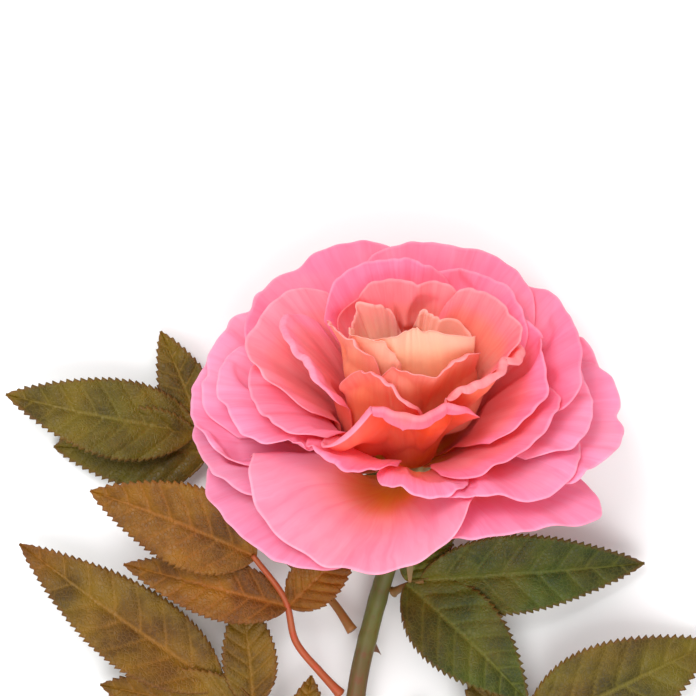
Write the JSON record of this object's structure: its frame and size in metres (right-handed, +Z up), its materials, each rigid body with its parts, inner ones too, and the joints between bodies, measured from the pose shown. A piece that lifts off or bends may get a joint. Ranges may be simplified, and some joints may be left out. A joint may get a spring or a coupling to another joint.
{
  "type": "cut rose",
  "caption": "Cut garden rose lying on its side: a large open bloom of layered pink and apricot petals on a prickly stem with compound leaves.",
  "frame": {"origin": "on the resting surface, under the middle of the object's bounding box", "axes": "+Z up from the surface; the stem lies along Y with its cut end towards -Y and the bloom at +Y; +X to the right as seen from above with the bloom at the top"},
  "size_m": [0.2012, 0.294, 0.0726],
  "materials": {
    "heart_petals": "soft velvety petal, cream apricot with thin pink margins",
    "inner_petals": "soft velvety petal, apricot orange outside, pink inside and along the rim",
    "middle_petals": "soft velvety petal, coral pink with an orange base",
    "outer_petals": "soft velvety petal, rose pink with fine veins and a yellow foot",
    "hip": "smooth green skin, faintly waxy",
    "sepals": "downy green with pale edges",
    "stem": "smooth green bark tinged red brown, with red brown prickles",
    "leaves": "semi-gloss leathery blade, olive green to bronze, with paler veins"
  },
  "bodies": {
    "root": {"heart_petal_1": "heart_petals", "heart_petal_2": "heart_petals", "heart_petal_3": "heart_petals", "heart_petal_4": "heart_petals", "heart_petal_5": "heart_petals", "inner_petal_1": "inner_petals", "inner_petal_2": "inner_petals", "inner_petal_3": "inner_petals", "inner_petal_4": "inner_petals", "inner_petal_5": "inner_petals", "inner_petal_6": "inner_petals", "middle_petal_1": "middle_petals", "middle_petal_2": "middle_petals", "middle_petal_3": "middle_petals", "middle_petal_4": "middle_petals", "middle_petal_5": "middle_petals", "middle_petal_6": "middle_petals", "middle_petal_7": "middle_petals", "middle_petal_8": "middle_petals", "middle_petal_9": "middle_petals", "middle_petal_10": "middle_petals", "middle_petal_11": "middle_petals", "middle_petal_12": "middle_petals", "outer_petal_1": "outer_petals", "outer_petal_2": "outer_petals", "outer_petal_3": "outer_petals", "outer_petal_4": "outer_petals", "outer_petal_5": "outer_petals", "outer_petal_6": "outer_petals", "outer_petal_7": "outer_petals", "outer_petal_8": "outer_petals", "outer_petal_9": "outer_petals", "outer_petal_10": "outer_petals", "outer_petal_11": "outer_petals", "outer_petal_12": "outer_petals", "outer_petal_13": "outer_petals", "outer_petal_14": "outer_petals", "outer_petal_15": "outer_petals", "hip": "hip", "sepal_1": "sepals", "sepal_2": "sepals", "sepal_3": "sepals", "sepal_4": "sepals", "sepal_5": "sepals", "stem": "stem", "leaf_1": "leaves", "leaf_2": "leaves", "leaf_3": "leaves", "leaf_4": "leaves", "leaf_5": "leaves", "leaf_6": "leaves"}
  },
  "joints": []
}
